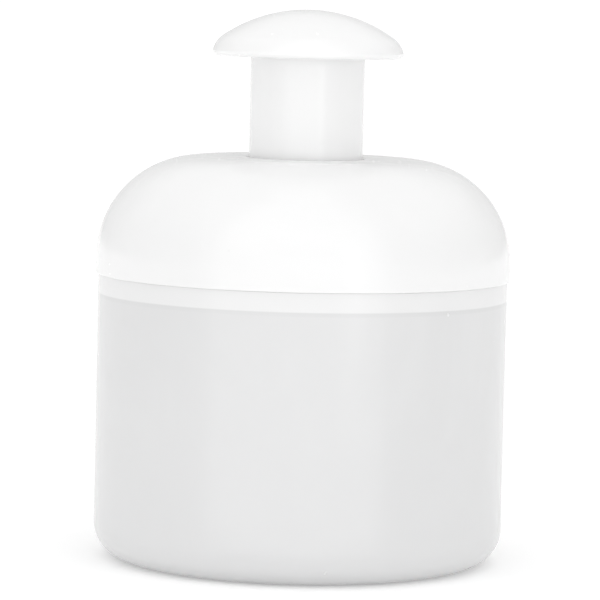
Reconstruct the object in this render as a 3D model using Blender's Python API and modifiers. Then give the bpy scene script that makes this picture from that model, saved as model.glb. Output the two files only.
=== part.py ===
"""Hand-plunger foam maker: a wide cup, a domed push-fit lid and a plunger that
slides through the lid with a double-mesh foaming head on its lower end.

Frame: metres, +Z up along the common axis, origin at the centre of the cup's
foot on the surface it stands on.  Everything is drawn with the plunger pushed
down, so that the foaming head is just clear of the cup's floor.
"""

import math

import bmesh
import bpy
from mathutils import Matrix, Vector

MM = 0.001

# ---------------------------------------------------------------- dimensions
# all in millimetres
GAP = 0.3                      # clearance between neighbouring pieces

# cup
JAR_R = 41.7                   # outer radius of the straight wall
JAR_WALL = 1.8
JAR_H = 57.9                   # top of the rim
JAR_CORNER = 7.0               # outer bottom corner radius
JAR_FLOOR_TOP = 3.0            # inner face of the floor
JAR_RECESS = 1.0               # depth of the recess under the floor
JAR_FOOT_IN = 29.6             # inner radius of the foot ring
JAR_IN = JAR_R - JAR_WALL      # inner radius
JAR_CORNER_IN = JAR_CORNER - JAR_WALL

# lid
LID_R = 42.2                   # largest radius
LID_SHOULDER = JAR_H + GAP     # height of the shoulder that sits on the rim
LID_TOP = 82.0                 # height of the flat top
LID_ARC = 20.75                # radius of the rounded dome edge
LID_WALL = 1.65
PLUG_R = JAR_IN - GAP          # plug skirt inside the cup's mouth
PLUG_IN = 37.8
PLUG_BOTTOM = 54.0
COLLAR_R = 14.0                # guide collar under the top
COLLAR_BOTTOM = 70.0

# plunger tube
TUBE_R = 11.6
TUBE_IN = 10.0
TUBE_BOTTOM = 10.9
FLANGE_R = 17.2
FLANGE_LOW = 102.5
FLANGE_TOP = 103.9
HOLE_R = TUBE_R + GAP          # hole in the lid, bore of the hub

# knob
KNOB_R = 19.5                  # reach of the shoulder's circle
KNOB_TOP = 112.0
KNOB_LOW = 102.4
KNOB_SPHERE = 30.2             # radius of the crowned top
KNOB_SHOULDER = 5.0            # rounding from the crown down to the side
KNOB_LIP = 1.0                 # rounding under the side
KNOB_WALL = 1.8
KNOB_IN = 17.5                 # inside of the rim
SPIGOT_R = TUBE_IN - GAP
SPIGOT_IN = 8.35
SPIGOT_BOTTOM = 97.0

# foaming head, bottom to top
BASKET_R = 37.4
BASKET_IN = 35.6
BASKET_BOTTOM = JAR_FLOOR_TOP + GAP
BASKET_FLOOR = 1.6
BASKET_TOP = 11.8
BASKET_LIP_IN = 34.7
BASKET_CORNER = 2.5
STACK_R = BASKET_IN - GAP      # radius of everything clamped inside
MESH_T = 0.6
SPACER_T = 1.5
SPACER_IN = 32.4
PLATE_T = 1.8
HUB_R = 14.2
HUB_TOP = 19.5
HUB_DRAIN = 5.0                # drain hole in the middle of the plate
RIB_COUNT = 6
RIB_T = 1.6
RIB_END = 32.0
RIB_H = 6.0
HOLE_SMALL = 2.3               # radius of the foaming holes

MESH_LOW_Z = BASKET_BOTTOM + BASKET_FLOOR + GAP
SPACER_Z = MESH_LOW_Z + MESH_T + GAP
MESH_UP_Z = SPACER_Z + SPACER_T + GAP
PLATE_Z = MESH_UP_Z + MESH_T + GAP
PLATE_TOP = PLATE_Z + PLATE_T

# facets round each turned piece
SEG_BODY = 60
SEG_KNOB = 44
SEG_HEAD = 36


# ------------------------------------------------------------------- helpers
def clear_scene():
    for obj in list(bpy.data.objects):
        bpy.data.objects.remove(obj, do_unlink=True)
    for block in (bpy.data.meshes, bpy.data.curves, bpy.data.materials):
        for item in list(block):
            block.remove(item)


def collection(name):
    col = bpy.data.collections.new(name)
    bpy.context.scene.collection.children.link(col)
    return col


def material(name, colour, roughness, metallic=0.0, alpha=1.0, transmission=0.0):
    mat = bpy.data.materials.new(name)
    mat.use_nodes = True
    bsdf = mat.node_tree.nodes["Principled BSDF"]
    bsdf.inputs["Base Color"].default_value = (*colour, 1.0)
    bsdf.inputs["Roughness"].default_value = roughness
    bsdf.inputs["Metallic"].default_value = metallic
    bsdf.inputs["Alpha"].default_value = alpha
    bsdf.inputs["Transmission Weight"].default_value = transmission
    return mat


def arc(cr, cz, radius, start, end, steps):
    """Points of an arc in the (r, z) half plane, angles in degrees from +r."""
    pts = []
    for i in range(steps + 1):
        a = math.radians(start + (end - start) * i / steps)
        pts.append((cr + radius * math.cos(a), cz + radius * math.sin(a)))
    return pts


def turned(name, profile, closed, segments, mat, col):
    """A piece of revolution about +Z from an (r, z) profile in millimetres.

    The profile runs down the outer side.  A closed profile stays clear of the
    axis; an open one has both ends on it.
    """
    mesh = bpy.data.meshes.new(name)
    bm = bmesh.new()
    verts = [bm.verts.new((r * MM, 0.0, z * MM)) for r, z in profile]
    for a, b in zip(verts, verts[1:]):
        bm.edges.new((a, b))
    if closed:
        bm.edges.new((verts[-1], verts[0]))
    bm.to_mesh(mesh)
    bm.free()
    obj = bpy.data.objects.new(name, mesh)
    col.objects.link(obj)
    screw = obj.modifiers.new("turn", "SCREW")
    screw.axis = "Z"
    screw.angle = 2.0 * math.pi
    screw.steps = segments
    screw.render_steps = segments
    screw.use_merge_vertices = True
    screw.merge_threshold = 0.00001
    screw.use_smooth_shade = True
    mesh.materials.append(mat)
    return obj


def helper(name, bm, col):
    """A hidden mesh that a Boolean uses."""
    mesh = bpy.data.meshes.new(name)
    bm.to_mesh(mesh)
    bm.free()
    obj = bpy.data.objects.new(name, mesh)
    col.objects.link(obj)
    obj.hide_render = True
    obj.display_type = "WIRE"
    return obj


def boolean(obj, other, operation):
    mod = obj.modifiers.new(operation.lower(), "BOOLEAN")
    mod.operation = operation
    mod.solver = "EXACT"
    mod.object = other


def hole_rings(rings, radius, low, high, sides):
    """Upright round cutters on rings of (ring radius, count, first angle)."""
    bm = bmesh.new()
    for ring_r, count, first in rings:
        for i in range(count):
            a = math.radians(first + 360.0 * i / count)
            at = Vector((ring_r * MM * math.cos(a), ring_r * MM * math.sin(a),
                         0.5 * (low + high) * MM))
            bmesh.ops.create_cone(
                bm, cap_ends=True, segments=sides, radius1=radius * MM,
                radius2=radius * MM, depth=(high - low) * MM,
                matrix=Matrix.Translation(at) @ Matrix.Rotation(a, 4, "Z"))
    return bm


def rib_set(col):
    """Gussets between the hub and the plate, as one hidden mesh."""
    outline = [(HUB_R - 1.2, PLATE_Z + 0.7), (RIB_END, PLATE_Z + 0.7),
               (RIB_END, PLATE_TOP + 0.9), (HUB_R + 2.5, PLATE_TOP + RIB_H),
               (HUB_R - 1.2, PLATE_TOP + RIB_H + 0.8)]
    curve = bpy.data.curves.new("rib_outline", "CURVE")
    curve.dimensions = "2D"
    curve.fill_mode = "BOTH"
    curve.extrude = 0.5 * RIB_T * MM
    spline = curve.splines.new("POLY")
    spline.points.add(len(outline) - 1)
    for point, (r, z) in zip(spline.points, outline):
        point.co = (r * MM, z * MM, 0.0, 1.0)
    spline.use_cyclic_u = True
    flat = bpy.data.objects.new("rib_outline", curve)
    col.objects.link(flat)
    flat.rotation_euler = (math.pi / 2.0, 0.0, 0.0)
    bpy.context.view_layer.update()
    graph = bpy.context.evaluated_depsgraph_get()
    mesh = bpy.data.meshes.new_from_object(flat.evaluated_get(graph))
    mesh.transform(flat.matrix_world)
    bpy.data.objects.remove(flat, do_unlink=True)

    bm = bmesh.new()
    for i in range(RIB_COUNT):
        one = mesh.copy()
        one.transform(Matrix.Rotation(2.0 * math.pi * i / RIB_COUNT, 4, "Z"))
        bm.from_mesh(one)
        bpy.data.meshes.remove(one)
    bpy.data.meshes.remove(mesh)
    bmesh.ops.remove_doubles(bm, verts=bm.verts, dist=0.00001)
    bmesh.ops.recalc_face_normals(bm, faces=bm.faces)
    return helper("rib_set", bm, col)


# -------------------------------------------------------------------- pieces
def make_jar(mat, col):
    corner_r = JAR_R - JAR_CORNER
    # up the inside from the middle of the floor, over the rim, down outside
    profile = [(0.0, JAR_FLOOR_TOP)]
    profile += arc(corner_r, JAR_FLOOR_TOP + JAR_CORNER_IN, JAR_CORNER_IN,
                   -90, 0, 5)
    profile += [(JAR_IN, JAR_H - 0.4), (JAR_IN + 0.4, JAR_H),
                (JAR_R - 0.4, JAR_H), (JAR_R, JAR_H - 0.4)]
    profile += arc(corner_r, JAR_CORNER, JAR_CORNER, 0, -90, 6)
    profile += [(JAR_FOOT_IN, 0.0), (JAR_FOOT_IN - 0.8, JAR_RECESS),
                (0.0, JAR_RECESS)]
    return turned("jar", profile, False, SEG_BODY, mat, col)


def make_lid(mat, col):
    cr, cz = LID_R - LID_ARC, LID_TOP - LID_ARC
    inner = LID_ARC - LID_WALL
    profile = [(HOLE_R + 0.3, LID_TOP)]
    profile += arc(cr, cz, LID_ARC, 90, 0, 8)
    profile += [(LID_R, LID_SHOULDER + 0.3), (LID_R - 0.3, LID_SHOULDER),
                (PLUG_R, LID_SHOULDER), (PLUG_R, PLUG_BOTTOM + 0.5),
                (PLUG_R - 0.5, PLUG_BOTTOM), (PLUG_IN + 0.3, PLUG_BOTTOM),
                (PLUG_IN, PLUG_BOTTOM + 0.3), (PLUG_IN, LID_SHOULDER + 2.2)]
    profile += arc(cr, cz, inner, 7, 90, 8)
    profile += [(COLLAR_R + 0.6, LID_TOP - LID_WALL),
                (COLLAR_R, LID_TOP - LID_WALL - 0.6),
                (COLLAR_R, COLLAR_BOTTOM + 0.3),
                (COLLAR_R - 0.3, COLLAR_BOTTOM),
                (HOLE_R + 0.3, COLLAR_BOTTOM), (HOLE_R, COLLAR_BOTTOM + 0.3),
                (HOLE_R, LID_TOP - 0.3)]
    return turned("lid_dome", profile, True, SEG_BODY, mat, col)


def make_tube(mat, col):
    profile = [(FLANGE_R - 0.2, FLANGE_TOP), (FLANGE_R, FLANGE_TOP - 0.2),
               (FLANGE_R, FLANGE_LOW + 0.2), (FLANGE_R - 0.2, FLANGE_LOW),
               (TUBE_R + 0.5, FLANGE_LOW), (TUBE_R, FLANGE_LOW - 0.5),
               (TUBE_R, TUBE_BOTTOM + 0.6), (TUBE_R - 0.6, TUBE_BOTTOM),
               (TUBE_IN, TUBE_BOTTOM), (TUBE_IN, FLANGE_TOP)]
    return turned("plunger_tube", profile, True, SEG_KNOB, mat, col)


def make_knob(mat, col):
    centre = KNOB_TOP - KNOB_SPHERE
    # the shoulder is tangent to the crown, the lip is tangent to the shoulder
    er = KNOB_R - KNOB_SHOULDER
    ez = centre + math.sqrt((KNOB_SPHERE - KNOB_SHOULDER) ** 2 - er ** 2)
    tangent = math.degrees(math.atan2(ez - centre, er))
    lip_z = KNOB_LOW + KNOB_LIP
    turn = math.asin((lip_z - ez) / (KNOB_SHOULDER - KNOB_LIP))
    lip_r = er + (KNOB_SHOULDER - KNOB_LIP) * math.cos(turn)
    turn = math.degrees(turn)
    profile = arc(0.0, centre, KNOB_SPHERE, 90, tangent, 6)
    profile[0] = (0.0, KNOB_TOP)
    profile += arc(er, ez, KNOB_SHOULDER, tangent, turn, 4)[1:]
    profile += arc(lip_r, lip_z, KNOB_LIP, turn, -90, 4)[1:]
    profile += [(KNOB_IN, KNOB_LOW)]
    # inside: rim wall, crown, then the spigot that enters the tube
    inner = KNOB_SPHERE - KNOB_WALL

    def crown(r):
        return centre + math.sqrt(inner ** 2 - r ** 2)

    profile += [(KNOB_IN, crown(KNOB_IN))]
    profile += [(r, crown(r)) for r in (15.2, 12.6)]
    profile += [(SPIGOT_R, crown(SPIGOT_R)), (SPIGOT_R, SPIGOT_BOTTOM + 0.5),
                (SPIGOT_R - 0.5, SPIGOT_BOTTOM), (SPIGOT_IN, SPIGOT_BOTTOM),
                (SPIGOT_IN, crown(SPIGOT_IN)), (4.0, crown(4.0)),
                (0.0, crown(0.0))]
    return turned("knob_cap", profile, False, SEG_KNOB, mat, col)


def make_plate(mat, col, cutters):
    """Upper foaming plate: a perforated disc with a hub for the tube."""
    profile = [(HUB_R - 0.3, HUB_TOP), (HUB_R, HUB_TOP - 0.3),
               (HUB_R, PLATE_TOP + 0.5), (HUB_R + 0.5, PLATE_TOP),
               (STACK_R - 0.3, PLATE_TOP), (STACK_R, PLATE_TOP - 0.3),
               (STACK_R, PLATE_Z), (HUB_DRAIN, PLATE_Z),
               (HUB_DRAIN, PLATE_TOP), (HOLE_R, PLATE_TOP),
               (HOLE_R, HUB_TOP - 0.3), (HOLE_R + 0.3, HUB_TOP)]
    obj = turned("foam_plate", profile, True, SEG_HEAD, mat, col)
    boolean(obj, rib_set(cutters), "UNION")
    rings = [(18.2, 12, 15.0), (24.2, 18, 10.0), (30.2, 24, 7.5)]
    holes = hole_rings(rings, HOLE_SMALL, PLATE_Z - 1.0, PLATE_TOP + 1.0, 8)
    boolean(obj, helper("plate_holes", holes, cutters), "DIFFERENCE")
    return obj


def make_basket(mat, col, cutters):
    """Lower dish that clips round the stack and carries it, perforated."""
    floor_top = BASKET_BOTTOM + BASKET_FLOOR
    cr, cz = BASKET_R - BASKET_CORNER, BASKET_BOTTOM + BASKET_CORNER
    lip_low = PLATE_TOP + GAP
    profile = [(0.0, floor_top), (BASKET_IN, floor_top),
               (BASKET_IN, lip_low), (BASKET_LIP_IN, lip_low),
               (BASKET_LIP_IN, BASKET_TOP - 0.3),
               (BASKET_LIP_IN + 0.3, BASKET_TOP),
               (BASKET_R - 0.3, BASKET_TOP), (BASKET_R, BASKET_TOP - 0.3)]
    profile += arc(cr, cz, BASKET_CORNER, 0, -90, 4)
    profile += [(0.0, BASKET_BOTTOM)]
    obj = turned("foam_basket", profile, False, SEG_HEAD, mat, col)
    rings = [(0.0, 1, 0.0), (6.9, 6, 0.0), (13.6, 12, 15.0),
             (20.2, 18, 0.0), (27.4, 24, 7.5)]
    holes = hole_rings(rings, HOLE_SMALL, BASKET_BOTTOM - 1.0,
                       floor_top + 1.0, 8)
    boolean(obj, helper("basket_holes", holes, cutters), "DIFFERENCE")
    return obj


def make_mesh_disc(name, low, mat, col):
    """Mesh insert: a thin disc with a slightly thicker welded edge."""
    edge = 1.6
    profile = [(0.0, low + MESH_T - 0.15), (STACK_R - edge, low + MESH_T - 0.15),
               (STACK_R - edge + 0.15, low + MESH_T), (STACK_R, low + MESH_T),
               (STACK_R, low), (STACK_R - edge + 0.15, low),
               (STACK_R - edge, low + 0.15), (0.0, low + 0.15)]
    return turned(name, profile, False, SEG_HEAD, mat, col)


def make_spacer(mat, col):
    profile = [(STACK_R, SPACER_Z + SPACER_T), (STACK_R, SPACER_Z),
               (SPACER_IN, SPACER_Z), (SPACER_IN, SPACER_Z + SPACER_T)]
    return turned("mesh_spacer", profile, True, SEG_HEAD, mat, col)


# ------------------------------------------------------------------ assembly
def carrier(name, parent, height, col):
    """An empty on the common axis that carries one moving body."""
    empty = bpy.data.objects.new(name, None)
    empty.empty_display_size = 0.01
    col.objects.link(empty)
    empty.parent = parent
    empty.location = (0.0, 0.0, height * MM)
    return empty


def adopt(pieces, empty):
    """Parent pieces to a carrier without moving them."""
    bpy.context.view_layer.update()
    for piece in pieces:
        piece.parent = empty
        piece.matrix_parent_inverse = empty.matrix_world.inverted()


def main():
    clear_scene()
    parts = collection("foam_maker")
    cutters = collection("cutters")
    white = material("lid_white", (0.90, 0.90, 0.90), 0.22)
    knob_white = material("plunger_white", (0.89, 0.89, 0.89), 0.22)
    milky = material("jar_milky", (0.82, 0.82, 0.83), 0.42, transmission=0.35)
    head_white = material("head_white", (0.86, 0.86, 0.86), 0.38)
    nylon = material("mesh_nylon", (0.84, 0.85, 0.85), 0.55)

    jar = make_jar(milky, parts)
    lid = make_lid(white, parts)
    tube = make_tube(knob_white, parts)
    knob = make_knob(knob_white, parts)
    plate = make_plate(head_white, parts, cutters)
    basket = make_basket(head_white, parts, cutters)
    upper = make_mesh_disc("mesh_upper", MESH_UP_Z, nylon, parts)
    lower = make_mesh_disc("mesh_lower", MESH_LOW_Z, nylon, parts)
    spacer = make_spacer(head_white, parts)

    # the lid lifts off the cup, the plunger slides in the lid
    lid_carrier = carrier("lid_carrier", jar, LID_SHOULDER, parts)
    adopt([lid], lid_carrier)
    plunger_carrier = carrier("plunger_carrier", lid_carrier,
                              LID_TOP - LID_SHOULDER, parts)
    adopt([tube, knob, plate, basket, upper, lower, spacer], plunger_carrier)
    bpy.context.view_layer.update()


main()
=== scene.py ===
"""Looks of the plunger foam maker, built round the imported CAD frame.

Every piece is turned or cut from its own fine profile in millimetres, in the
frame's own coordinates, and rides on the body of the CAD node it replaces.
"""

import math

import bmesh
import bpy
from mathutils import Matrix, Vector


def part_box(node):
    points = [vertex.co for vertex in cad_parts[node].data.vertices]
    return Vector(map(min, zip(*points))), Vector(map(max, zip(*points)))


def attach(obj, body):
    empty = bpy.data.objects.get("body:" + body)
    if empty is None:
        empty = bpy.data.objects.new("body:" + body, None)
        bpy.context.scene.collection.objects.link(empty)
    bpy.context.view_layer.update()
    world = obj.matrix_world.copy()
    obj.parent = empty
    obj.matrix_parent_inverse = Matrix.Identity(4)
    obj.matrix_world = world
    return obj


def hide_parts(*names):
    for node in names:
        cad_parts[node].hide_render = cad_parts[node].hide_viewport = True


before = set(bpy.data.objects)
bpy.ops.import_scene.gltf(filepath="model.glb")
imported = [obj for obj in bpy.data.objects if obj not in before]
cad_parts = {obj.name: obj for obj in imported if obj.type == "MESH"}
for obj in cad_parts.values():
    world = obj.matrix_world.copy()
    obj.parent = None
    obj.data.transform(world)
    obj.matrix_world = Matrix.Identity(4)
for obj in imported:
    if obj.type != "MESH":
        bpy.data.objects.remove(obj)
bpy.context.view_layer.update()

MM = 0.001
GAP = 0.3

# sizes that the frame gives, in millimetres
JAR_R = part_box("jar")[1].x / MM
JAR_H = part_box("jar")[1].z / MM
LID_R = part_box("lid_dome")[1].x / MM
LID_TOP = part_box("lid_dome")[1].z / MM
PLUG_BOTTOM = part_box("lid_dome")[0].z / MM
KNOB_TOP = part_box("knob_cap")[1].z / MM
SPIGOT_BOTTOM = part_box("knob_cap")[0].z / MM
FLANGE_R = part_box("plunger_tube")[1].x / MM
FLANGE_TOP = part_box("plunger_tube")[1].z / MM
TUBE_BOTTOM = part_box("plunger_tube")[0].z / MM
STACK_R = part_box("mesh_spacer")[1].x / MM
SPACER_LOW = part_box("mesh_spacer")[0].z / MM
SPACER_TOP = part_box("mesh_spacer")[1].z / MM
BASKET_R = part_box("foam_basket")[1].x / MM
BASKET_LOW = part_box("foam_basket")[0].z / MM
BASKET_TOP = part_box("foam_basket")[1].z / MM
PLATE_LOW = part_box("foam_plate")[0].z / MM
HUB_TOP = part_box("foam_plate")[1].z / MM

# sizes inside the nodes
JAR_IN = JAR_R - 1.8
JAR_FLOOR = 3.0
SHOULDER = JAR_H + GAP
SEAT = JAR_H + 0.04
DOME_ARC = 20.75
LID_WALL = 1.65
PLUG_R = JAR_IN - GAP
PLUG_IN = 37.8
TUBE_R = 11.6
TUBE_IN = 10.0
HOLE_R = TUBE_R + GAP
COLLAR_R = 14.0
COLLAR_LOW = 70.0
FLANGE_LOW = 102.5
KNOB_LOW = 102.4
KNOB_REACH = 19.47
KNOB_SPHERE = 30.2
KNOB_SHOULDER = 5.0
KNOB_LIP = 1.0
KNOB_IN = 17.5
JAR_CORNER = 7.0
PLATE_TOP = PLATE_LOW + 1.8
HUB_R = 14.2
BASKET_IN = 35.6
BASKET_LIP = 34.7
BASKET_FLOOR = BASKET_LOW + 1.6


# ------------------------------------------------------------------ profiles
def arc(cr, cz, radius, start, end, step=1.0, least=4):
    """Arc points in (r, z), angles in degrees from +r, about step mm apart."""
    length = abs(math.radians(end - start)) * radius
    n = max(least, int(math.ceil(length / step)))
    out = []
    for i in range(n + 1):
        a = math.radians(start + (end - start) * i / n)
        out.append((cr + radius * math.cos(a), cz + radius * math.sin(a)))
    return out


def straight(a, b, step=1.6, hold=0.12):
    """Points between a and b, without them, with a pair close to both ends
    so that the flat keeps its own shading beside a small rounding."""
    length = math.dist(a, b)
    if length < 0.35:
        return []
    marks = []
    if length > 3.0 * hold:
        marks += [hold / length, 1.0 - hold / length]
    n = int(length / step)
    marks += [i / (n + 1) for i in range(1, n + 1)]
    marks = sorted(m for m in marks if 0.0 < m < 1.0)
    kept = []
    for m in marks:
        if not kept or (m - kept[-1]) * length > 0.06:
            kept.append(m)
    return [(a[0] + (b[0] - a[0]) * m, a[1] + (b[1] - a[1]) * m) for m in kept]


def outline(corners, closed, step=1.6):
    """A profile with rounded corners.

    corners holds (r, z, radius) for a corner, or a list of points that is
    taken over as it is, such as an arc.  Returns points and how far each is
    part of a small convex or concave rounding, from 0 to 1.
    """
    flat = []
    for item in corners:
        if isinstance(item, list):
            flat += [(p, 0.0, True) for p in item]
        else:
            flat.append(((item[0], item[1]), item[2], False))
    n = len(flat)
    runs = []
    for i, (p, radius, kept) in enumerate(flat):
        if radius <= 0.0 or (not closed and i in (0, n - 1)):
            runs.append(([p], 0.0, kept))
            continue
        a = Vector(flat[(i - 1) % n][0]) - Vector(p)
        b = Vector(flat[(i + 1) % n][0]) - Vector(p)
        la, lb = a.length, b.length
        a.normalize()
        b.normalize()
        half = 0.5 * a.angle(b)
        cut = min(radius / math.tan(half), 0.48 * la, 0.48 * lb)
        rad = cut * math.tan(half)
        centre = Vector(p) + (a + b).normalized() * (rad / math.sin(half))
        s = Vector(p) + a * cut - centre
        e = Vector(p) + b * cut - centre
        sa, ea = math.atan2(s.y, s.x), math.atan2(e.y, e.x)
        turn = (ea - sa + math.pi) % (2 * math.pi) - math.pi
        steps = max(4, int(math.ceil(abs(turn) * rad / 0.8)),
                    int(math.ceil(abs(math.degrees(turn)) / 15.0)))
        pts = [(centre.x + rad * math.cos(sa + turn * k / steps),
                centre.y + rad * math.sin(sa + turn * k / steps))
               for k in range(steps + 1)]
        runs.append((pts, min(1.0, 0.9 / max(rad, 0.3)), False))
    points, edge = [], []
    for i, (pts, weight, kept) in enumerate(runs):
        points += pts
        edge += [weight] * len(pts)
        if i == len(runs) - 1 and not closed:
            break
        after = runs[(i + 1) % len(runs)]
        if kept and after[2]:
            continue
        extra = straight(pts[-1], after[0][0], step)
        for k, q in enumerate(extra):
            points.append(q)
            near = min(math.dist(q, pts[-1]), math.dist(q, after[0][0]))
            side = weight if math.dist(q, pts[-1]) < math.dist(q, after[0][0]) \
                else after[1]
            edge.append(side * max(0.0, 1.0 - near / 0.7))
    return points, edge


def lathe_mesh(bm, points, edge, seg, closed):
    """Turns a profile about +Z into bm, which gains the edge layer."""
    layer = bm.verts.layers.float.get("edge") or bm.verts.layers.float.new("edge")
    rings = []
    for (r, z), w in zip(points, edge):
        if r < 1e-6:
            ring = [bm.verts.new((0.0, 0.0, z * MM))]
        else:
            ring = [bm.verts.new((r * MM * math.cos(2 * math.pi * i / seg),
                                  r * MM * math.sin(2 * math.pi * i / seg),
                                  z * MM)) for i in range(seg)]
        for v in ring:
            v[layer] = w
        rings.append(ring)
    pairs = list(zip(rings, rings[1:]))
    if closed:
        pairs.append((rings[-1], rings[0]))
    for a, b in pairs:
        for i in range(seg):
            j = (i + 1) % seg
            if len(a) == 1 and len(b) == 1:
                break
            if len(a) == 1:
                bm.faces.new((a[0], b[i], b[j]))
            elif len(b) == 1:
                bm.faces.new((a[i], b[0], a[j]))
            else:
                bm.faces.new((a[i], b[i], b[j], a[j]))


def finish_mesh(name, bm, mat, sharp=38.0):
    bmesh.ops.recalc_face_normals(bm, faces=bm.faces)
    mesh = bpy.data.meshes.new(name)
    bm.to_mesh(mesh)
    bm.free()
    mesh.materials.append(mat)
    mesh.shade_smooth()
    mesh.set_sharp_from_angle(angle=math.radians(sharp))
    obj = bpy.data.objects.new(name, mesh)
    bpy.context.scene.collection.objects.link(obj)
    return obj


def lathe(name, corners, seg, closed, mat, step=1.6):
    points, edge = outline(corners, closed, step)
    bm = bmesh.new()
    lathe_mesh(bm, points, edge, seg, closed)
    return finish_mesh(name, bm, mat)


# ----------------------------------------------------------------- materials
class Nodes:
    """Small helper that builds a node tree for one material."""

    def __init__(self, name):
        self.mat = bpy.data.materials.new(name)
        self.mat.use_nodes = True
        self.tree = self.mat.node_tree
        self.tree.nodes.clear()
        self.out = self.tree.nodes.new("ShaderNodeOutputMaterial")
        self.bsdf = self.tree.nodes.new("ShaderNodeBsdfPrincipled")
        self.tree.links.new(self.bsdf.outputs[0], self.out.inputs[0])
        self.coord = self.tree.nodes.new("ShaderNodeTexCoord").outputs["Object"]

    def link(self, a, b):
        self.tree.links.new(a, b)

    def put(self, socket, value):
        if isinstance(value, (int, float)):
            socket.default_value = value
        elif isinstance(value, (tuple, list)):
            socket.default_value = value
        else:
            self.link(value, socket)

    def stretch(self, scale):
        n = self.tree.nodes.new("ShaderNodeMapping")
        n.inputs["Scale"].default_value = scale
        self.link(self.coord, n.inputs["Vector"])
        return n.outputs[0]

    def noise(self, scale, detail=2.0, rough=0.5, vector=None, distortion=0.0):
        n = self.tree.nodes.new("ShaderNodeTexNoise")
        n.inputs["Scale"].default_value = scale
        n.inputs["Detail"].default_value = detail
        n.inputs["Roughness"].default_value = rough
        n.inputs["Distortion"].default_value = distortion
        self.link(vector or self.coord, n.inputs["Vector"])
        return n.outputs["Fac"]

    def cells(self, scale, vector=None):
        n = self.tree.nodes.new("ShaderNodeTexVoronoi")
        n.inputs["Scale"].default_value = scale
        self.link(vector or self.coord, n.inputs["Vector"])
        return n.outputs["Distance"]

    def range(self, value, a, b, c, d, smooth=False):
        n = self.tree.nodes.new("ShaderNodeMapRange")
        n.clamp = True
        if smooth:
            n.interpolation_type = "SMOOTHSTEP"
        self.link(value, n.inputs["Value"])
        for key, v in zip(("From Min", "From Max", "To Min", "To Max"),
                          (a, b, c, d)):
            n.inputs[key].default_value = v
        return n.outputs["Result"]

    def math(self, op, a, b=0.0):
        n = self.tree.nodes.new("ShaderNodeMath")
        n.operation = op
        self.put(n.inputs[0], a)
        self.put(n.inputs[1], b)
        return n.outputs[0]

    def mix(self, fac, a, b):
        n = self.tree.nodes.new("ShaderNodeMix")
        n.data_type = "RGBA"
        self.put(n.inputs["Factor"], fac)
        self.put(n.inputs["A"], a if not isinstance(a, tuple) else (*a, 1.0))
        self.put(n.inputs["B"], b if not isinstance(b, tuple) else (*b, 1.0))
        return n.outputs["Result"]

    def attribute(self, name):
        n = self.tree.nodes.new("ShaderNodeAttribute")
        n.attribute_name = name
        return n.outputs["Fac"]

    def axis(self, which):
        n = self.tree.nodes.new("ShaderNodeSeparateXYZ")
        self.link(self.coord, n.inputs[0])
        return n.outputs[which]

    def bump(self, height, strength, distance, normal=None):
        n = self.tree.nodes.new("ShaderNodeBump")
        n.inputs["Strength"].default_value = strength
        n.inputs["Distance"].default_value = distance
        self.link(height, n.inputs["Height"])
        if normal is not None:
            self.link(normal, n.inputs["Normal"])
        return n.outputs[0]


def tint(colour, factor):
    return tuple(min(1.0, c * factor) for c in colour)


def moulded(name, colour, rough, handled=0.0, slide=0.0, spec=0.5, coat=0.0):
    """Glossy moulded plastic: cloudy pigment, orange peel, fine handling
    marks, duller worn edges and, with slide, fine lengthwise rub marks."""
    n = Nodes(name)
    cloud = n.noise(22.0, 4.0, 0.55, distortion=0.6)
    drift = n.range(cloud, 0.32, 0.68, 0.0, 1.0, True)
    base = n.mix(drift, tint(colour, 0.982), tint(colour, 1.006))
    speck = n.range(n.cells(170.0), 0.035, 0.075, 1.0, 0.0, True)
    rare = n.range(n.noise(31.0, 1.0), 0.60, 0.66, 0.0, 0.35, True)
    base = n.mix(n.math("MULTIPLY", speck, rare), base, tint(colour, 0.93))
    edge = n.attribute("edge")
    patchy = n.range(n.noise(260.0, 3.0, 0.6), 0.42, 0.62, 0.0, 1.0, True)
    worn = n.math("MULTIPLY", edge, patchy)
    base = n.mix(n.math("MULTIPLY", worn, 0.35), base, tint(colour, 0.975))
    n.link(base, n.bsdf.inputs["Base Color"])

    marks = n.noise(95.0, 5.0, 0.62, distortion=1.2)
    smear = n.range(marks, 0.46, 0.70, 0.0, 1.0, True)
    hair = n.range(n.noise(900.0, 2.0, 0.5, n.stretch((1.0, 0.06, 1.0))),
                   0.60, 0.74, 0.0, 1.0, True)
    total = n.math("ADD", n.math("MULTIPLY", smear, 0.05 + handled), rough)
    total = n.math("ADD", n.math("MULTIPLY", worn, 0.06), total)
    total = n.math("ADD", n.math("MULTIPLY", hair, 0.03 + 0.5 * handled), total)
    if slide:
        rub = n.noise(1400.0, 3.0, 0.6, n.stretch((1.0, 1.0, 0.012)))
        rub = n.range(rub, 0.50, 0.72, 0.0, 1.0, True)
        total = n.math("ADD", n.math("MULTIPLY", rub, slide), total)
    n.link(total, n.bsdf.inputs["Roughness"])

    peel = n.bump(n.noise(480.0, 2.0, 0.45), 0.10, 0.00006)
    ripple = n.bump(n.noise(60.0, 1.5, 0.4), 0.10, 0.00035, peel)
    if slide:
        ripple = n.bump(rub, 0.05, 0.00003, ripple)
    n.link(ripple, n.bsdf.inputs["Normal"])
    n.bsdf.inputs["Specular IOR Level"].default_value = spec
    n.bsdf.inputs["IOR"].default_value = 1.49
    n.bsdf.inputs["Coat Weight"].default_value = coat
    n.bsdf.inputs["Subsurface Weight"].default_value = 0.5
    n.bsdf.inputs["Subsurface Radius"].default_value = (1.0, 1.0, 1.0)
    n.bsdf.inputs["Subsurface Scale"].default_value = 0.0015
    n.bsdf.inputs["Coat Roughness"].default_value = 0.08
    return n.mat


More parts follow.
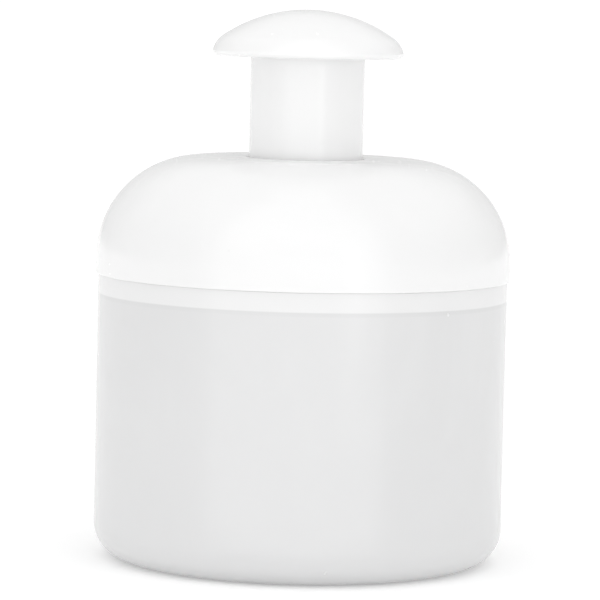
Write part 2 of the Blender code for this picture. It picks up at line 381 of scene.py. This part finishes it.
def milky(name, colour, plug_light_tone, rough, through):
    """Translucent polypropylene: cloudy body, flow lines up the wall, a
    lighter band round the mouth that is painted light for the lid's plug seen
    through the wall, above a thin painted shadow line under the plug's edge,
    painted shade low on the wall and at the foot, and a softly grained surface."""
    n = Nodes(name)
    cloud = n.noise(16.0, 4.0, 0.6, distortion=0.8)
    drift = n.range(cloud, 0.30, 0.70, 0.0, 1.0, True)
    base = n.mix(drift, tint(colour, 0.975), tint(colour, 1.01))
    flow = n.noise(150.0, 3.0, 0.6, n.stretch((1.0, 1.0, 0.10)), 0.3)
    lines = n.range(flow, 0.45, 0.75, 0.0, 1.0, True)
    base = n.mix(n.math("MULTIPLY", lines, 0.5), base, tint(colour, 0.985))
    edge = n.attribute("edge")
    base = n.mix(n.math("MULTIPLY", edge, 0.5), base, tint(colour, 1.02))
    speck = n.range(n.cells(140.0), 0.03, 0.07, 1.0, 0.0, True)
    rare = n.range(n.noise(27.0, 1.0), 0.60, 0.66, 0.0, 0.4, True)
    base = n.mix(n.math("MULTIPLY", speck, rare), base, tint(colour, 0.95))
    height = n.axis(2)
    # painted shadow: a thin darker line just below the mouth band, standing for the
    # shadow under the lid plug's edge
    plug_edge_shadow = n.math("MULTIPLY",
                    n.range(height, 0.05305, 0.05345, 0.0, 1.0, True),
                    n.range(height, 0.05385, 0.05410, 1.0, 0.0, True))
    base = n.mix(n.math("MULTIPLY", plug_edge_shadow, 0.8), base, tint(colour, 0.95))
    # painted shade: low on the wall the tone is mixed toward a plain tone tuned to
    # the shading there, which also drops the flow lines and specks
    low_wall_shade = n.range(height, 0.008, 0.044, 1.0, 0.0, True)
    base = n.mix(low_wall_shade, base, n.mix(drift, tint(colour, 0.985),
                                   tint(colour, 1.000)))
    # painted shade: the bottom few millimetres are tinted darker, standing for the
    # shade from the floor near the contact
    foot_shade = n.range(height, 0.0015, 0.0038, 1.0, 0.0, True)
    base = n.mix(foot_shade, base, tint(colour, 0.96))
    # painted light: a lighter band round the mouth stands for the lid's white plug
    # seen through the wall; being on the jar, it stays when the lid is lifted
    plug_light_band = n.range(height, 0.05390, 0.05425, 0.0, 1.0, True)
    plug_light_colour = n.mix(drift, tint(plug_light_tone, 0.992), tint(plug_light_tone, 1.004))
    base = n.mix(plug_light_band, base, plug_light_colour)
    n.link(base, n.bsdf.inputs["Base Color"])

    smear = n.range(n.noise(80.0, 5.0, 0.6, distortion=1.0),
                    0.45, 0.72, 0.0, 1.0, True)
    total = n.math("ADD", n.math("MULTIPLY", smear, 0.06), rough)
    total = n.math("ADD", n.math("MULTIPLY", lines, 0.04), total)
    n.link(total, n.bsdf.inputs["Roughness"])
    grain = n.bump(n.noise(1100.0, 2.0, 0.5), 0.10, 0.00004)
    wave = n.bump(flow, 0.06, 0.00012, grain)
    n.link(wave, n.bsdf.inputs["Normal"])
    n.bsdf.inputs["IOR"].default_value = 1.49
    n.bsdf.inputs["Transmission Weight"].default_value = through
    return n.mat


def nylon(name, colour):
    """Woven nylon: semi-matte thread with a slight sheen."""
    n = Nodes(name)
    fleck = n.noise(900.0, 3.0, 0.6)
    base = n.mix(n.range(fleck, 0.35, 0.65, 0.0, 1.0), tint(colour, 0.94),
                 tint(colour, 1.02))
    n.link(base, n.bsdf.inputs["Base Color"])
    n.link(n.range(fleck, 0.3, 0.7, 0.38, 0.55), n.bsdf.inputs["Roughness"])
    n.link(n.bump(n.noise(2600.0, 2.0), 0.15, 0.00003), n.bsdf.inputs["Normal"])
    n.bsdf.inputs["Sheen Weight"].default_value = 0.15
    return n.mat


WHITE = (0.846, 0.846, 0.846)
white_lid = moulded("white_lid", WHITE, 0.17, 0.02, spec=0.42)
# painted light: the tube's white is set 2.5% lighter than the lid's to offset the
# shade the knob casts on it
lit_white_tube = moulded("lit_white_tube", tint(WHITE, 1.025), 0.17, 0.01, slide=0.06,
                     spec=0.42)
white_knob = moulded("white_knob", tint(WHITE, 1.0), 0.18, 0.03)
head_white = moulded("head_white", (0.86, 0.86, 0.865), 0.36, 0.02, slide=0.04)
jar_milky = milky("jar_milky", (0.802, 0.803, 0.806), (0.895, 0.895, 0.896),
                  0.19, 0.16)
mesh_white = nylon("mesh_white", (0.84, 0.85, 0.85))


# -------------------------------------------------------------------- pieces
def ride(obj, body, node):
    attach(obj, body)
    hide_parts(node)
    return obj


def make_jar():
    c = JAR_R - JAR_CORNER
    inner = JAR_CORNER - 1.8
    return lathe("cup_shell", [
        (0.0, JAR_FLOOR, 0.0),
        arc(c, JAR_FLOOR + inner, inner, -90, 0, 0.5),
        (JAR_IN, PLUG_BOTTOM - 1.0, 0.3), (JAR_IN + 0.3, PLUG_BOTTOM - 0.7, 0.3),
        (JAR_IN + 0.3, PLUG_BOTTOM - 0.3, 0.3), (JAR_IN, PLUG_BOTTOM, 0.3),
        (JAR_IN, JAR_H, 0.6), (JAR_R, JAR_H, 0.12),
        arc(c, JAR_CORNER, JAR_CORNER, 0, -90, 0.5),
        (29.6, 0.0, 0.5), (28.8, 1.0, 0.5),
        (6.2, 1.0, 0.2), (5.8, 0.75, 0.2), (5.0, 0.75, 0.2), (4.6, 1.0, 0.2),
        (1.9, 1.0, 0.15), (1.7, 0.62, 0.2), (0.0, 0.62, 0.0),
    ], 200, False, jar_milky)


def make_lid():
    cr, cz = LID_R - DOME_ARC, LID_TOP - DOME_ARC
    return lathe("lid_shell", [
        (HOLE_R, LID_TOP, 0.35),
        arc(cr, cz, DOME_ARC, 90, 0, 0.8),
        (LID_R, SEAT, 0.12), (PLUG_R, SEAT, 0.15),
        (PLUG_R, PLUG_BOTTOM + 0.9, 0.3), (PLUG_R - 0.5, PLUG_BOTTOM, 0.35),
        (PLUG_IN, PLUG_BOTTOM, 0.4), (PLUG_IN, SHOULDER + 2.2, 0.6),
        arc(cr, cz, DOME_ARC - LID_WALL, 7, 90, 0.9),
        (COLLAR_R, LID_TOP - LID_WALL, 0.7), (COLLAR_R, COLLAR_LOW, 0.35),
        (HOLE_R, COLLAR_LOW, 0.35),
    ], 216, True, white_lid)


def make_tube():
    return lathe("plunger_stem", [
        (FLANGE_R, FLANGE_TOP, 0.3), (FLANGE_R, FLANGE_LOW, 0.3),
        (TUBE_R, FLANGE_LOW, 0.5), (TUBE_R, TUBE_BOTTOM, 0.7),
        (TUBE_IN, TUBE_BOTTOM, 0.2), (TUBE_IN, FLANGE_TOP, 0.25),
    ], 144, True, lit_white_tube, 2.2)


def make_knob():
    centre = KNOB_TOP - KNOB_SPHERE
    er = KNOB_REACH - KNOB_SHOULDER
    ez = centre + math.sqrt((KNOB_SPHERE - KNOB_SHOULDER) ** 2 - er ** 2)
    t = math.degrees(math.atan2(ez - centre, er))
    lip_z = KNOB_LOW + KNOB_LIP
    turn = math.asin((lip_z - ez) / (KNOB_SHOULDER - KNOB_LIP))
    lip_r = er + (KNOB_SHOULDER - KNOB_LIP) * math.cos(turn)
    turn = math.degrees(turn)
    crown = arc(0.0, centre, KNOB_SPHERE, 90, t, 0.7)
    crown[0] = (0.0, KNOB_TOP)
    side = arc(er, ez, KNOB_SHOULDER, t, turn, 0.4)[1:]
    side += arc(lip_r, lip_z, KNOB_LIP, turn, -90, 0.15)[1:]
    inner = KNOB_SPHERE - 1.8

    def roof(r):
        return centre + math.sqrt(inner ** 2 - r ** 2)

    spigot = TUBE_IN - GAP
    steps = [16.8, 16.0, 15.0, 13.8, 12.6, 11.4, 10.4]
    return lathe("knob_shell", [
        crown + side,
        (KNOB_IN, KNOB_LOW, 0.35), (KNOB_IN, roof(KNOB_IN), 0.2),
        [(r, roof(r)) for r in steps],
        (spigot, roof(spigot), 0.25), (spigot, SPIGOT_BOTTOM, 0.4),
        (8.35, SPIGOT_BOTTOM, 0.3), (8.35, roof(8.35), 0.5),
        [(r, roof(r)) for r in (7.2, 6.0, 4.8, 3.6, 2.4, 1.2)],
        (0.0, roof(0.0), 0.0),
    ], 160, False, white_knob)


def boolean(obj, other, operation):
    """Applies one exact Boolean and removes the other object."""
    mod = obj.modifiers.new("cut", "BOOLEAN")
    mod.operation = operation
    mod.solver = "EXACT"
    mod.object = other
    bpy.context.view_layer.update()
    graph = bpy.context.evaluated_depsgraph_get()
    mesh = bpy.data.meshes.new_from_object(obj.evaluated_get(graph))
    obj.modifiers.remove(mod)
    old = obj.data
    obj.data = mesh
    bpy.data.meshes.remove(old)
    bpy.data.objects.remove(other, do_unlink=True)
    return obj


def spools(rings, radius, low, high, sides=28, flare=0.35):
    """Cutters for round holes whose edges are chamfered on both faces."""
    profile = [(radius + flare + 0.5, low - 0.5), (radius + flare, low),
               (radius, low + flare), (radius, high - flare),
               (radius + flare, high), (radius + flare + 0.5, high + 0.5)]
    bm = bmesh.new()
    for ring_r, count, first in rings:
        for i in range(count):
            a = math.radians(first + 360.0 * i / count)
            x, y = ring_r * MM * math.cos(a), ring_r * MM * math.sin(a)
            loops = [[bm.verts.new((x + r * MM * math.cos(2 * math.pi * k / sides),
                                    y + r * MM * math.sin(2 * math.pi * k / sides),
                                    z * MM)) for k in range(sides)]
                     for r, z in profile]
            for lo, hi in zip(loops, loops[1:]):
                for k in range(sides):
                    m = (k + 1) % sides
                    bm.faces.new((lo[k], lo[m], hi[m], hi[k]))
            bm.faces.new(list(reversed(loops[0])))
            bm.faces.new(loops[-1])
    mesh = bpy.data.meshes.new("spools")
    bm.to_mesh(mesh)
    bm.free()
    obj = bpy.data.objects.new("spools", mesh)
    bpy.context.scene.collection.objects.link(obj)
    return obj


def rib_bodies():
    """Six gussets with rounded free edges, as one mesh of closed bodies."""
    line, _ = outline([
        (HUB_R - 1.2, PLATE_TOP - 0.7, 0.0), (31.9, PLATE_TOP - 0.7, 0.0),
        (31.9, PLATE_TOP + 0.9, 0.5), (HUB_R + 2.5, PLATE_TOP + 6.0, 2.0),
        (HUB_R - 1.2, PLATE_TOP + 6.8, 0.0)], False, 6.0)
    bm = bmesh.new()
    for i in range(6):
        turn = Matrix.Rotation(math.radians(60.0 * i), 4, "Z")
        left = [bm.verts.new(turn @ Vector((r * MM, -0.78 * MM, z * MM)))
                for r, z in line]
        right = [bm.verts.new(turn @ Vector((r * MM, 0.78 * MM, z * MM)))
                 for r, z in line]
        bm.faces.new(left)
        bm.faces.new(list(reversed(right)))
        for k in range(len(line)):
            m = (k + 1) % len(line)
            bm.faces.new((left[m], left[k], right[k], right[m]))
    bmesh.ops.recalc_face_normals(bm, faces=bm.faces)
    mesh = bpy.data.meshes.new("ribs")
    bm.to_mesh(mesh)
    bm.free()
    obj = bpy.data.objects.new("ribs", mesh)
    bpy.context.scene.collection.objects.link(obj)
    return obj


def reshade(obj, sharp=32.0):
    obj.data.shade_smooth()
    obj.data.set_sharp_from_angle(angle=math.radians(sharp))
    return obj


def make_plate():
    obj = lathe("foaming_plate", [
        (HUB_R, HUB_TOP, 0.35), (HUB_R, PLATE_TOP, 0.5),
        (STACK_R, PLATE_TOP, 0.3), (STACK_R, PLATE_LOW, 0.2),
        (5.0, PLATE_LOW, 0.25), (5.0, PLATE_TOP, 0.25),
        (HOLE_R, PLATE_TOP, 0.15), (HOLE_R, HUB_TOP, 0.35),
    ], 120, True, head_white, 6.0)
    boolean(obj, rib_bodies(), "UNION")
    rings = [(18.2, 12, 15.0), (24.2, 18, 10.0), (30.2, 24, 7.5)]
    boolean(obj, spools(rings, 2.3, PLATE_LOW, PLATE_TOP), "DIFFERENCE")
    return reshade(obj)


def make_basket():
    c = BASKET_R - 2.5
    obj = lathe("foaming_basket", [
        (0.0, BASKET_FLOOR, 0.0), (BASKET_IN, BASKET_FLOOR, 0.6),
        (BASKET_IN, PLATE_TOP + GAP, 0.0), (BASKET_LIP, PLATE_TOP + GAP, 0.1),
        (BASKET_LIP, BASKET_TOP, 0.35), (BASKET_R, BASKET_TOP, 0.35),
        arc(c, BASKET_LOW + 2.5, 2.5, 0, -90, 0.4),
        (0.0, BASKET_LOW, 0.0),
    ], 120, False, head_white, 8.0)
    rings = [(0.0, 1, 0.0), (6.9, 6, 0.0), (13.6, 12, 15.0),
             (20.2, 18, 0.0), (27.4, 24, 7.5)]
    boolean(obj, spools(rings, 2.3, BASKET_LOW, BASKET_FLOOR), "DIFFERENCE")
    return reshade(obj)


def make_spacer():
    return lathe("spacer_ring", [
        (STACK_R, SPACER_TOP, 0.2), (STACK_R, SPACER_LOW, 0.2),
        (32.4, SPACER_LOW, 0.2), (32.4, SPACER_TOP, 0.2),
    ], 120, True, head_white)


def weave(name, node, pitch=1.0, thread=0.15):
    """Plain-woven mesh: threads over and under each other inside a welded
    edge ring.  All of it lies in the height of its CAD disc."""
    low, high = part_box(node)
    z0, z1 = low.z / MM, high.z / MM
    mid = 0.5 * (z0 + z1)
    radius = high.x / MM
    rim_in = radius - 1.6
    points, edge = outline([
        (radius, z1, 0.15), (radius, z0, 0.15),
        (rim_in, z0, 0.15), (rim_in, z1, 0.15)], True)
    bm = bmesh.new()
    lathe_mesh(bm, points, edge, 120, True)
    reach = rim_in + 0.5
    lift = 0.13
    count = int(reach / pitch)
    for axis in (0, 1):
        for i in range(-count, count + 1):
            at = i * pitch
            half = math.sqrt(max(0.0, reach ** 2 - at ** 2))
            if half < 1.5 * pitch:
                continue
            k = int(half / pitch)
            line = [(-half, 0.0)]
            line += [(j * pitch, lift if (i + j + axis) % 2 else -lift)
                     for j in range(-k, k + 1)]
            line += [(half, 0.0)]
            loops = []
            for s, dz in line:
                ring = []
                for u, w in ((-thread, 0.0), (0.0, -thread), (thread, 0.0),
                             (0.0, thread)):
                    x, y = (s, at + u) if axis == 0 else (at + u, s)
                    ring.append(bm.verts.new((x * MM, y * MM,
                                              (mid + dz + w) * MM)))
                loops.append(ring)
            for a, b in zip(loops, loops[1:]):
                for m in range(4):
                    q = (m + 1) % 4
                    bm.faces.new((a[m], a[q], b[q], b[m]))
            bm.faces.new(list(reversed(loops[0])))
            bm.faces.new(loops[-1])
    return finish_mesh(name, bm, mesh_white, 60.0)


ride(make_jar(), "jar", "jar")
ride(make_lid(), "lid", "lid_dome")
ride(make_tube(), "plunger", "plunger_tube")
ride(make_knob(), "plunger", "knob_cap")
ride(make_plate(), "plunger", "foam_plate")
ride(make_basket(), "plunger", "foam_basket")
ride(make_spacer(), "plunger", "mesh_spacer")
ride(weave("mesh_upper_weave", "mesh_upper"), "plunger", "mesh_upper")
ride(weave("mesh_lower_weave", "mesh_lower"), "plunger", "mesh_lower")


# --------------------------------------------------------------------- stage
def floor_material():
    """Pale studio sweep that glows a little, so it stays white far away."""
    n = Nodes("pale_floor")
    grain = n.noise(40.0, 3.0, 0.5)
    pale = n.mix(n.range(grain, 0.3, 0.7, 0.0, 1.0), (0.815, 0.815, 0.815),
                 (0.825, 0.825, 0.825))
    n.bsdf.inputs["Roughness"].default_value = 0.9
    n.bsdf.inputs["Specular IOR Level"].default_value = 0.0
    n.bsdf.inputs["Emission Color"].default_value = (1.0, 1.0, 1.0, 1.0)
    n.link(pale, n.bsdf.inputs["Base Color"])
    n.bsdf.inputs["Emission Strength"].default_value = FLOOR_GLOW
    return n.mat


FLOOR_GLOW = 0.23
floor_mesh = bpy.data.meshes.new("floor")
floor_bm = bmesh.new()
bmesh.ops.create_grid(floor_bm, x_segments=8, y_segments=8, size=60.0)
floor_bm.to_mesh(floor_mesh)
floor_bm.free()
floor_mesh.materials.append(floor_material())
floor = bpy.data.objects.new("floor", floor_mesh)
bpy.context.scene.collection.objects.link(floor)
floor.location = (0.0, 0.0, -0.0001)


def panel(name, corners, radiance, shine_only=False, soft_only=False):
    """A rectangular light from its centre, half width and half height
    vectors, whose brightness is given as radiance."""
    centre, across, up = (Vector(v) for v in corners)
    light = bpy.data.lights.new(name, "AREA")
    light.shape = "RECTANGLE"
    light.size = 2.0 * across.length
    light.size_y = 2.0 * up.length
    light.energy = radiance * math.pi * light.size * light.size_y
    obj = bpy.data.objects.new(name, light)
    bpy.context.scene.collection.objects.link(obj)
    x, y = across.normalized(), up.normalized()
    z = x.cross(y)
    obj.matrix_world = Matrix.Translation(centre) @ Matrix(
        (x, y, z)).transposed().to_4x4()
    obj.visible_camera = False
    if shine_only:
        obj.visible_diffuse = False
        obj.visible_transmission = False
    if soft_only:
        obj.visible_glossy = False
    return obj


# the long front box that draws the broad upright highlight
panel("front_low", ((-0.005, -0.075, 0.151), (0.0605, 0.0, 0.0),
                    (0.0, 0.0, 0.150)), 0.86, True)
# a narrow strip that draws the thin streak on the tube
panel("strip", ((0.19, -0.36, 0.16), (0.022, 0.012, 0.0),
                (0.0, 0.0, 0.155)), 1.2, True)

# two soft fills from the front corners, without a reflection of their own
panel("fill_left", ((-0.50, -0.35, 0.14), (0.0688, -0.0983, 0.0),
                    (0.0, 0.0, 0.15)), 1.4, soft_only=True)
panel("fill_right", ((0.50, -0.35, 0.14), (0.0688, 0.0983, 0.0),
                     (0.0, 0.0, 0.15)), 1.4, soft_only=True)

# a small box overhead that draws the soft spot on the dome
panel("overhead", ((0.0, -0.04, 0.55), (0.09, 0.0, 0.0), (0.0, 0.07, 0.0)),
      0.8, True)

world = bpy.data.worlds.new("studio")
bpy.context.scene.world = world
world.use_nodes = True
tree = world.node_tree
background = tree.nodes["Background"]
direction = tree.nodes.new("ShaderNodeTexCoord").outputs["Generated"]
split = tree.nodes.new("ShaderNodeSeparateXYZ")
tree.links.new(direction, split.inputs[0])


def world_math(op, a, b):
    node = tree.nodes.new("ShaderNodeMath")
    node.operation = op
    for socket, v in zip(node.inputs, (a, b)):
        if isinstance(v, (int, float)):
            socket.default_value = v
        else:
            tree.links.new(v, socket)
    return node.outputs[0]


def world_range(value, a, b, c, d):
    node = tree.nodes.new("ShaderNodeMapRange")
    node.interpolation_type = "SMOOTHSTEP"
    tree.links.new(value, node.inputs["Value"])
    for key, v in zip(("From Min", "From Max", "To Min", "To Max"),
                      (a, b, c, d)):
        node.inputs[key].default_value = v
    return node.outputs["Result"]


# bright in front and above, greyer low down behind the object
FRONT, BACK, TOP = 1.05, 0.70, 1.18
SIDE_DROP = 0.35
front_back = world_range(split.outputs[1], -0.8, 0.8, FRONT, BACK)
overhead = world_range(split.outputs[2], 0.25, 0.85, 0.0, 1.0)
lift = world_math("MULTIPLY", overhead, world_math("SUBTRACT", TOP, front_back))
total = world_math("ADD", front_back, lift)
side = world_math("MULTIPLY", split.outputs[0], split.outputs[0])
low_side = world_math("MULTIPLY", side, world_math("SUBTRACT", 1.0, overhead))
total = world_math("SUBTRACT", total, world_math("MULTIPLY", low_side, SIDE_DROP))
# seen directly, the backdrop is as white as the floor
seen = tree.nodes.new("ShaderNodeLightPath").outputs["Is Camera Ray"]
gain = world_math("MULTIPLY", seen, world_math("SUBTRACT", 1.05, total))
tree.links.new(world_math("ADD", total, gain), background.inputs["Strength"])
background.inputs["Color"].default_value = (1.0, 1.0, 1.0, 1.0)

scene = bpy.context.scene
scene.view_settings.view_transform = "Standard"
scene.view_settings.look = "None"
scene.view_settings.exposure = 0.0
scene.view_settings.gamma = 1.0

# camera: level with the knob, looking slightly down, turned a little
CAM = Vector((0.0, -0.740, 0.1177))
AIM = Vector((0.0, 0.0, 0.053))
ROLL = math.radians(1.35)
camera_data = bpy.data.cameras.new("camera")
camera_data.sensor_width = 36.0
camera_data.lens = 3639.0 / 600.0 * 36.0
camera_data.clip_start = 0.05
camera_data.clip_end = 200.0
camera = bpy.data.objects.new("camera", camera_data)
scene.collection.objects.link(camera)
look = (AIM - CAM).to_track_quat("-Z", "Y").to_matrix().to_4x4()
camera.matrix_world = Matrix.Translation(CAM) @ look @ Matrix.Rotation(ROLL, 4, "Z")
camera_data.shift_x = -2.4 / 600.0
camera_data.shift_y = -0.5 / 600.0
scene.camera = camera
